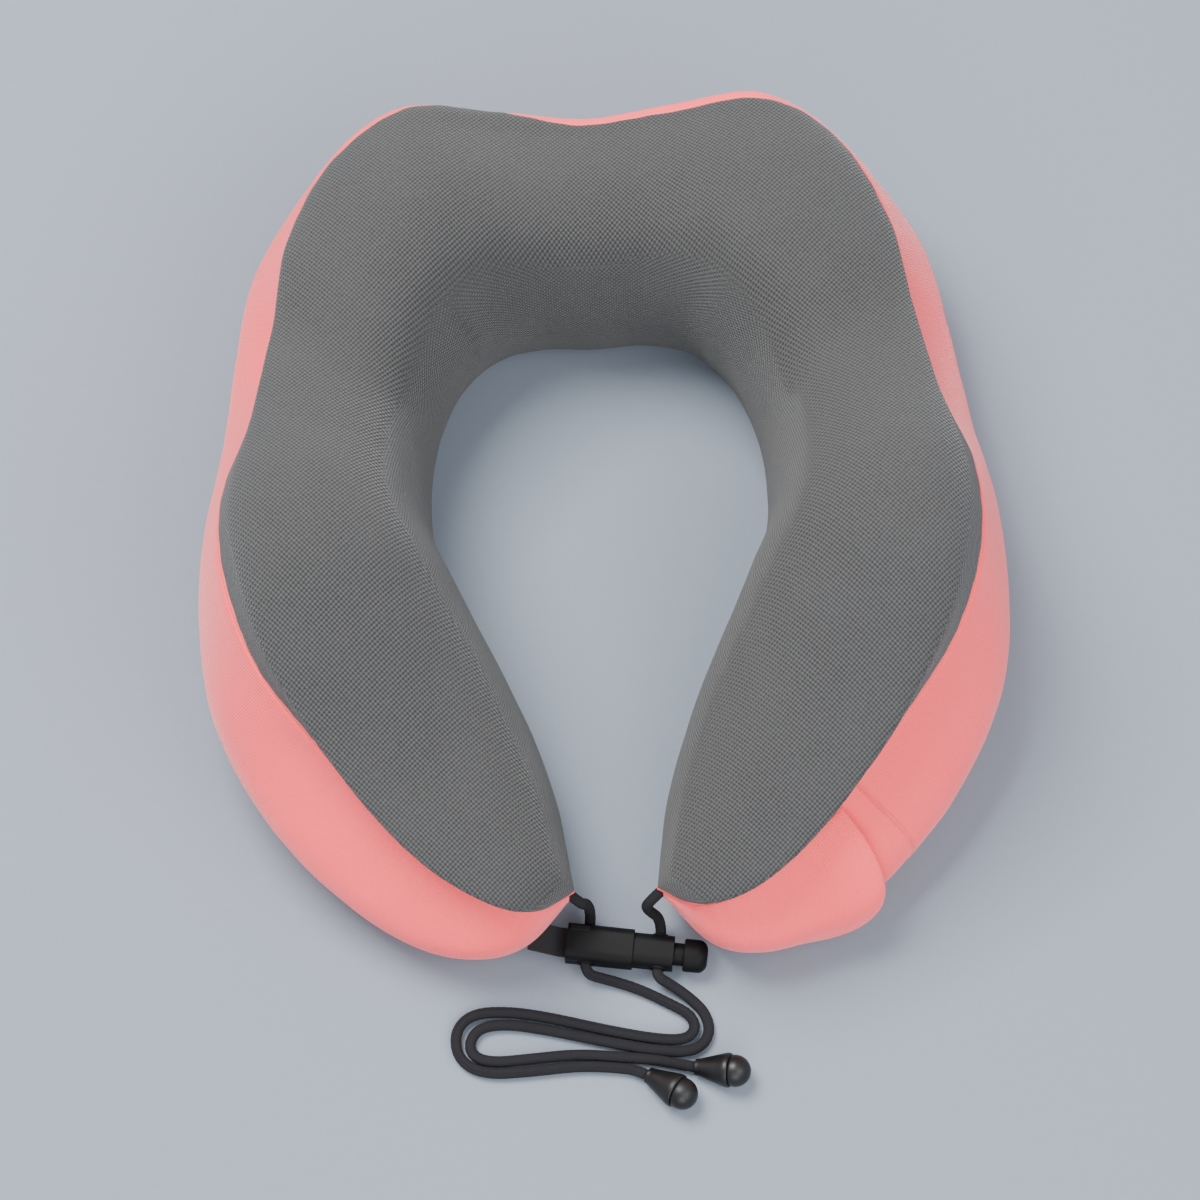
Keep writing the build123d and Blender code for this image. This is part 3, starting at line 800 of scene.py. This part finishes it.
def mouth_station(s):
    """The pocket's mouth: it sweeps towards the tip on its way down, and then runs level."""
    drop = s - TOP_SEAM
    return MOUTH_TOP + MOUTH_REACH * drop ** 2 / (drop ** 2 + MOUTH_ROUND)


def seam_s(t):
    """Where the top seam runs: it creeps towards the crown over the back."""
    s = TOP_SEAM
    for creep, middle, spread in SEAM_CREEPS:
        s -= creep * math.exp(-(((t - middle) / spread) ** 4))
    return s


def side_s(v, t=TIP):
    """Down the side panel, from the top seam (v = 0) to its hem."""
    start = seam_s(t)
    return start + (OUTER_HEM_S - start) * v


def top_s(u, v, t):
    """Over the top panel, from its hem at the neck side (v = 0) to the top seam."""
    return HEM_S + (seam_s(t) - HEM_S) * v


def make_panels():
    """The knit over the top, the stretch cloth round the side, and its end under the pocket."""
    top = panel("knit_top_panel", along_whole, top_s, 420, 92, KNIT, "last",
                seed=3.0, wrinkle=0.0006)
    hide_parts("top_panel", "foam_core")
    side = panel("stretch_side_panel",
                 lambda u, v: -COVER_TIP + (join_station(side_s(v)) + COVER_TIP) * u,
                 lambda u, v, t: side_s(v, t), 380, 46, PINK, "first",
                 seed=11.0, wrinkle=0.0006)
    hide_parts("side_panel")
    backing = panel("pocket_backing_panel",
                    lambda u, v: join_station(side_s(v)) + (COVER_TIP - join_station(side_s(v))) * u,
                    lambda u, v, t: side_s(v), 70, 46, PINK, "first", seed=17.0)
    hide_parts("pocket_backing")
    make_seam("top_seam_welt", seam_point, 700)
    make_seam("pocket_join_welt", lambda k: skin_point(join_station(side_s(k)), side_s(k)), 90)


def seam_point(k):
    """Point of the top seam, from the left tip (k = 0) to the right one."""
    t = COVER_TIP * (2 * k - 1)
    return skin_point(t, seam_s(t))


WELT_SINK, WELT_RADIUS = 0.0012, 0.0009
WELT_HEART = np.array((0, 0, 0.035))        # a seam sinks towards this point,
WELT_DROP = 0.6                             # and less steeply than that


def make_seam(name, place, count):
    """The folded-in cloth at the bottom of a seam."""
    points = [place(k / (count - 1)) for k in range(count)]
    sunk = []
    for point in points:
        inward = WELT_HEART - point
        inward[2] *= WELT_DROP
        sunk.append(point + inward / np.linalg.norm(inward) * WELT_SINK)
    tube_object(name, sunk, WELT_RADIUS, 8, PINK_THREAD)


# ------------------------------------------------------------------ pocket
POCKET_END = TIP - 0.12
POCKET_TOP_S, POCKET_LOW_S = TOP_SEAM + 0.05, 9.85
MOUTH_LIFT = 0.0042         # the gap in the middle of the mouth
MIDDLE_LIFT = 0.0012        # and in the middle of the patch
PATCH_LIFT = 0.0006
MOUTH_DEPTH = 0.16          # the share of the patch over which the mouth's gap closes
HEM_WIDTH = 0.20            # in stations
HEM_ROLL = 0.0005


def pocket_s(v):
    """Down the patch, from the top seam (v = 0)."""
    return POCKET_TOP_S + (POCKET_LOW_S - POCKET_TOP_S) * v


def pocket_lift(u, v):
    """The patch stands off the panel behind it, most in the middle of its mouth."""
    across = math.sin(math.pi * v ** 0.8) ** 0.8
    along = math.exp(-((u / MOUTH_DEPTH) ** 2))
    fade = 1 - smooth_step(u, 0.6, 1.0)
    return PATCH_LIFT * (0.4 + 0.6 * fade) + across * (MIDDLE_LIFT * fade + MOUTH_LIFT * along)


def hem_lift(u, v):
    """The hem follows the patch's mouth and is rounder."""
    return pocket_lift(0.06 * u, v) + HEM_ROLL * math.sin(math.pi * u) ** 0.5


def make_pocket():
    """The phone pocket's patch and the hem of its mouth."""
    patch = panel("pocket_patch",
                  lambda u, v: mouth_station(pocket_s(v)) + (POCKET_END - mouth_station(pocket_s(v))) * u,
                  lambda u, v, t: pocket_s(v), 110, 54, PINK, "first",
                  seed=23.0, thickness=0.0011, lift=pocket_lift, wrinkle=0.0007)
    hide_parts("pocket_panel")
    hem = panel("pocket_mouth_hem",
                lambda u, v: mouth_station(pocket_s(v)) + HEM_WIDTH * u - 0.01,
                lambda u, v, t: pocket_s(v), 14, 54, PINK, "first",
                seed=29.0, thickness=0.0022, lift=hem_lift, wrinkle=0.0003)
    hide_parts("pocket_hem")


make_panels()
make_pocket()

# ------------------------------------------------------------------ underside and zip
ZIP_CENTRE = np.array((0, 0.025, 0))
ZIP_RADIUS = 0.088
CHAIN_HALF = math.radians(54)
SLOT_HALF_ANGLE = math.radians(62)
SLOT_HALF = 0.0065
SLOT_DEPTH = (-0.004, 0.009)                            # from below the cloth to well above it
FOLD_OUT, FOLD_Z, FOLD_RADIUS = 0.0007, 0.0015, 0.0014  # the rolled cloth along the slot's two sides
BOTTOM_TIP = TIP - 0.7
UNDER_ROLL, UNDER_ROLL_WIDTH = 0.0009, 0.006            # the underside turns up at its edges
UNDER_Z = 0.00005
UNDER_THICKNESS = 0.0018
GUARD_HALF = math.radians(55.5)                         # the cloth behind the chain
GUARD_HALF_WIDTH = 0.004
GUARD_Z = 0.0079
GUARD_THICKNESS = 0.0006
END_CLOTH = (math.radians(54.6), math.radians(63.2))    # the cloth behind each end of the slot
END_CLOTH_OUT = 0.0012
END_LOW_Z, END_HIGH_Z = 0.0017, 0.0054
END_SLOPE = (0.0008, 0.0032)                            # how far from its border it starts and ends to rise
STITCH_ROW = 0.0034         # each row's distance from the slot's side
STITCH_PITCH, STITCH_SHARE = 0.0030, 0.72
STITCH_RADIUS, STITCH_RISE, STITCH_Z = 0.00022, 0.00042, 0.00040
STITCH_RINGS, STITCH_SIDES = 5, 6
STITCH_RING_STEP, STITCH_SIDE_STEP = 0.0005, 0.0003     # over the thread's surface
COIL_PITCH, COIL_STEPS = 0.00126, 12
COIL_OFFSET, COIL_REACH, COIL_RISE = 0.00125, 0.00085, 0.00055
COIL_Z, COIL_WIRE = 0.0041, 0.00027


def arc_point(radius, angle, z):
    """Point on an arc about the zip's centre, at an angle from the back's middle."""
    return ZIP_CENTRE + np.array((radius * math.sin(angle), radius * math.cos(angle), z))


def arc_points(radius, half, z, count):
    return [arc_point(radius, half * (2 * k / (count - 1) - 1), z) for k in range(count)]


def make_cutter():
    """The slot's shape, a flat curved bar that is taken out of the underside."""
    steps = 60
    vertices = []
    for z in SLOT_DEPTH:
        for side in (-1, 1):
            vertices += arc_points(ZIP_RADIUS + side * SLOT_HALF, SLOT_HALF_ANGLE, z, steps)
    low_in, low_out, high_in, high_out = (k * steps for k in range(4))
    faces = []
    for k in range(steps - 1):
        faces.append((low_in + k, low_out + k, low_out + k + 1, low_in + k + 1))
        faces.append((high_in + k, high_in + k + 1, high_out + k + 1, high_out + k))
        faces.append((low_in + k, low_in + k + 1, high_in + k + 1, high_in + k))
        faces.append((low_out + k, high_out + k, high_out + k + 1, low_out + k + 1))
    last = steps - 1
    faces.append((low_in, high_in, high_out, low_out))
    faces.append((low_in + last, low_out + last, high_out + last, high_in + last))
    mesh = bpy.data.meshes.new("slot_cutter")
    mesh.from_pydata([tuple(v) for v in vertices], [], faces)
    cutter = bpy.data.objects.new("slot_cutter", mesh)
    bpy.context.scene.collection.objects.link(cutter)
    return cutter


def apply_modifiers(obj):
    """Turns what the modifiers show into the object's own mesh."""
    bpy.context.view_layer.update()
    graph = bpy.context.evaluated_depsgraph_get()
    mesh = bpy.data.meshes.new_from_object(obj.evaluated_get(graph))
    obj.modifiers.clear()
    obj.data = mesh


def bottom_point(u, v):
    """The flat underside, from the neck side (v = 0) to the outer side."""
    t = BOTTOM_TIP * (2 * u - 1)
    inner, outer = skin_point(t, HEM_S), skin_point(t, OUTER_HEM_S)
    point = inner + (outer - inner) * v
    edge = min(v, 1 - v) * np.linalg.norm(outer - inner)
    rise = UNDER_ROLL * (1 - smooth_step(edge, 0, UNDER_ROLL_WIDTH))
    point[2] = station_at(t)[BASE_COLUMN] * MM + UNDER_Z + rise
    return point


def make_underside():
    """The bottom panel, with the slot for the zip cut out of it."""
    rows, columns = 300, 44
    points = np.array([[bottom_point(i / (rows - 1), j / (columns - 1)) for j in range(columns)]
                       for i in range(rows)])
    faces = [face[::-1] for face in grid_faces(rows, columns)]
    under = new_object("underside_panel", points.reshape(-1, 3), faces, grid_lengths(points), PINK)
    add_solid(under, UNDER_THICKNESS)
    apply_modifiers(under)
    cutter = make_cutter()
    cut = under.modifiers.new("slot", "BOOLEAN")
    cut.object = cutter
    cut.solver = "EXACT"
    apply_modifiers(under)
    bpy.data.objects.remove(cutter)
    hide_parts("bottom_panel")


def make_zip():
    """On each side of the slot: its folded edge, a row of stitches and one of the chain's coils."""
    for side, word in ((-1, "inner"), (1, "outer")):
        fold_line = arc_points(ZIP_RADIUS + side * (SLOT_HALF + FOLD_OUT), SLOT_HALF_ANGLE, FOLD_Z, 180)
        tube_object(f"slot_fold_{word}", fold_line, FOLD_RADIUS, 10, PINK_HEM)
        stitch_row(f"slot_stitches_{word}", ZIP_RADIUS + side * (SLOT_HALF + STITCH_ROW))
        make_coil(word, side)


def stitch_row(name, radius):
    """Thread stitches beside the slot, each a short bar that dips into the cloth at its ends."""
    count = int(2 * SLOT_HALF_ANGLE * radius / STITCH_PITCH)
    bar = grid_faces(STITCH_RINGS, STITCH_SIDES, closed=True)
    vertices = []
    faces = []
    uvs = []
    for n in range(count):
        middle = -SLOT_HALF_ANGLE + (n + 0.5) * STITCH_PITCH / radius
        for k in range(STITCH_RINGS):
            f = k / (STITCH_RINGS - 1) - 0.5
            angle = middle + f * STITCH_SHARE * STITCH_PITCH / radius
            centre = arc_point(radius, angle, STITCH_Z - STITCH_RISE * math.cos(math.pi * f))
            outward = arc_point(1, angle, 0) - ZIP_CENTRE
            for m in range(STITCH_SIDES):
                turn = 2 * math.pi * m / STITCH_SIDES
                vertices.append(centre + STITCH_RADIUS * (math.cos(turn) * outward
                                                          + math.sin(turn) * np.array((0, 0, 1))))
                uvs.append((k * STITCH_RING_STEP, m * STITCH_SIDE_STEP))
        start = n * STITCH_RINGS * STITCH_SIDES
        faces += [tuple(start + i for i in face) for face in bar]
        faces.append(tuple(start + i for i in range(STITCH_SIDES)))
        faces.append(tuple(start + STITCH_RINGS * STITCH_SIDES - 1 - i for i in range(STITCH_SIDES)))
    new_object(name, vertices, faces, uvs, PINK_THREAD)


def make_coil(word, side):
    """Nylon coil: a flattened helix whose turns mesh with the other coil's."""
    turns = int(2 * CHAIN_HALF * ZIP_RADIUS / COIL_PITCH)
    shift = 0.0 if side > 0 else 0.5
    points = []
    for k in range(turns * COIL_STEPS + 1):
        phase = 2 * math.pi * k / COIL_STEPS
        angle = -CHAIN_HALF + (k / COIL_STEPS + shift) * COIL_PITCH / ZIP_RADIUS
        radius = ZIP_RADIUS + side * (COIL_OFFSET - COIL_REACH * math.cos(phase))
        points.append(arc_point(radius, angle, COIL_Z + COIL_RISE * math.sin(phase)))
    coil = tube_object(f"zip_coil_{word}", points, COIL_WIRE, 6, ZIP_COIL)
    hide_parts("zipper_coil_" + word)


def make_guard():
    """The strip of cloth behind the chain, and the cloth that closes the slot past its two ends."""
    rows, columns = 120, 7
    points = np.array([[arc_point(ZIP_RADIUS + GUARD_HALF_WIDTH * (2 * j / (columns - 1) - 1),
                                  GUARD_HALF * (2 * i / (rows - 1) - 1), GUARD_Z)
                        for j in range(columns)] for i in range(rows)])
    strip = new_object("zip_guard_strip", points.reshape(-1, 3), grid_faces(rows, columns),
                       grid_lengths(points), PINK_HEM)
    add_solid(strip, GUARD_THICKNESS)
    for side, word in ((-1, "start"), (1, "end")):
        make_slot_end(side, word)


def make_slot_end(side, word):
    """A shallow dish of cloth: level behind the chain's end, and down to the slot's three borders."""
    rows, columns = 26, 26
    first, last = END_CLOTH
    reach = SLOT_HALF + END_CLOTH_OUT
    grid = []
    for i in range(rows):
        angle = first + (last - first) * i / (rows - 1)
        line = []
        for j in range(columns):
            offset = reach * (2 * j / (columns - 1) - 1)
            border = min(reach - abs(offset), (last - angle) * ZIP_RADIUS)
            z = END_LOW_Z + (END_HIGH_Z - END_LOW_Z) * smooth_step(border, *END_SLOPE)
            line.append(arc_point(ZIP_RADIUS + offset, side * angle, z))
        grid.append(line)
    points = np.array(grid)
    faces = grid_faces(rows, columns)
    if side < 0:
        faces = [face[::-1] for face in faces]
    piece = new_object(f"zip_slot_{word}_cloth", points.reshape(-1, 3), faces, grid_lengths(points),
                       PINK_HEM)
    add_solid(piece, GUARD_THICKNESS)


make_underside()
make_zip()
make_guard()


# ------------------------------------------------------------------ the lock's spring and rims
SPRING_START, SPRING_END = -7.9, 5.3
SPRING_RADIUS, SPRING_WIRE = 2.9, 0.35
SPRING_TURNS, SPRING_STEPS = 6, 24
HOLE_RIMS = {"left": (-HOLE_SPAN, 6.4), "right": (HOLE_SPAN, 5.7)}  # place, and reach from the axis
RIM_RADIUS, RIM_WIRE = 2.75, 0.45
RIM_STEPS = 48


def make_spring():
    """The coil that stands between the bore's blind end and the plunger's stem."""
    coil = []
    for k in range(SPRING_TURNS * SPRING_STEPS + 1):
        turn = 2 * math.pi * k / SPRING_STEPS
        along = SPRING_START + (SPRING_END - SPRING_START) * k / (SPRING_TURNS * SPRING_STEPS)
        coil.append(lock_point(along, SPRING_RADIUS * math.cos(turn), SPRING_RADIUS * math.sin(turn)))
    spring = tube_object("lock_spring_coil", np.array(coil) * MM, SPRING_WIRE * MM, 8, STEEL)
    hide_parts("lock_spring")
    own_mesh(spring)


def make_hole_rims():
    """Raised rims round the two cord holes, front and back."""
    up = Vector((0, 0, 1))
    for word, (along, reach) in HOLE_RIMS.items():
        for front, way in ((reach, "front"), (-reach, "back")):
            centre = Vector(lock_point(along, front)) * MM
            rim = []
            for k in range(RIM_STEPS + 2):
                angle = 2 * math.pi * (k % RIM_STEPS) / RIM_STEPS
                outward = math.cos(angle) * LOCK_AXIS + math.sin(angle) * up
                rim.append(centre + (RIM_RADIUS * MM) * outward)
            tube_object(f"cord_hole_rim_{word}_{way}", rim, RIM_WIRE * MM, 8, LOCK_BLACK,
                        closed_ends=False)


make_spring()
make_hole_rims()


# ------------------------------------------------------------------ CAD nodes that stay
NODE_MATERIALS = {
    "zipper_tape_outer": ZIP_TAPE,
    "zipper_tape_inner": ZIP_TAPE,
    "zipper_top_stop": ZIP_METAL,
    "zipper_bottom_stop": ZIP_METAL,
    "zipper_slider": ZIP_METAL,
    "zipper_pull": ZIP_METAL,
    "lock_housing": LOCK_BLACK,
    "lock_plunger": LOCK_BLACK,
    "lock_tab": WEBBING,
    "cord_anchor_left": CORD,
    "cord_anchor_right": CORD,
    "bell_knot_left": CORD,
    "bell_knot_right": CORD,
}
for node_name, node_material in NODE_MATERIALS.items():
    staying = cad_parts[node_name]
    staying.data.materials.clear()
    staying.data.materials.append(node_material)
